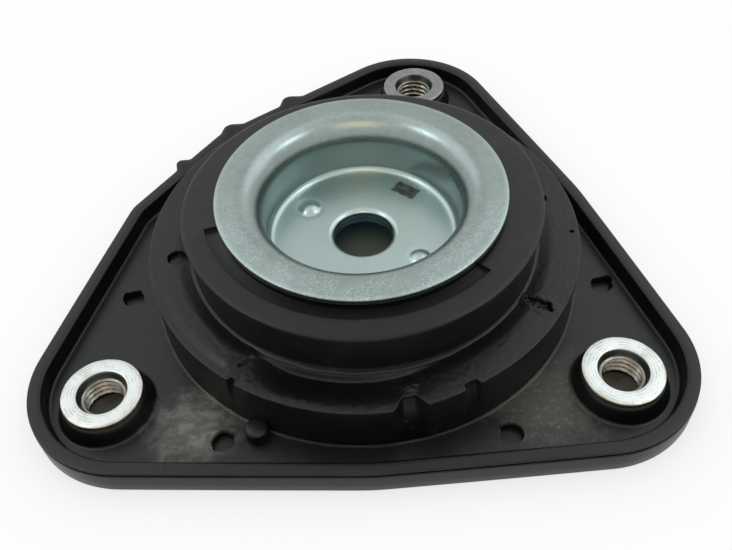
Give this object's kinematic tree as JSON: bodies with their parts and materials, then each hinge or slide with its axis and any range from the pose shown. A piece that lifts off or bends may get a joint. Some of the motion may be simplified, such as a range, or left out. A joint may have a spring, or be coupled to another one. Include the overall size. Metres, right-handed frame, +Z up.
{
  "type": "strut mount",
  "caption": "Upper strut mount: rounded three-cornered plate with a raised rim and threaded bushes, and a flanged steel cup that floats on a rubber drum in a stepped turret.",
  "frame": {"origin": "centre of the rod hole, on the seat under the dish where the damper rod's shoulder bears", "axes": "+Z up along the rod's axis, out of the cup; the lone bush lies 35 degrees from +X towards -Y"},
  "size_m": [0.1452, 0.1417, 0.0286],
  "materials": {
    "black_nylon": "moulded satin black",
    "black_rubber": "moulded rubber",
    "bush_zinc": "bright zinc plate with turning rings",
    "cup_zinc": "satin zinc plate",
    "dish_zinc": "satin zinc plate"
  },
  "bodies": {
    "plate": {"mount_body": "black_nylon", "threaded_bush_left": "bush_zinc", "threaded_bush_right": "bush_zinc", "threaded_bush_rear": "bush_zinc", "rubber_bush": "black_rubber"},
    "core": {"rod_cup": "cup_zinc", "support_dish": "dish_zinc"}
  },
  "joints": [
    {"name": "core_float", "type": "slide", "parent": "plate", "child": "core", "axis": [0, 0, 1], "range_m": [-0.0015, 0.0025], "stiffness_N_per_m": 400000, "deforming": ["rubber_bush"]}
  ]
}
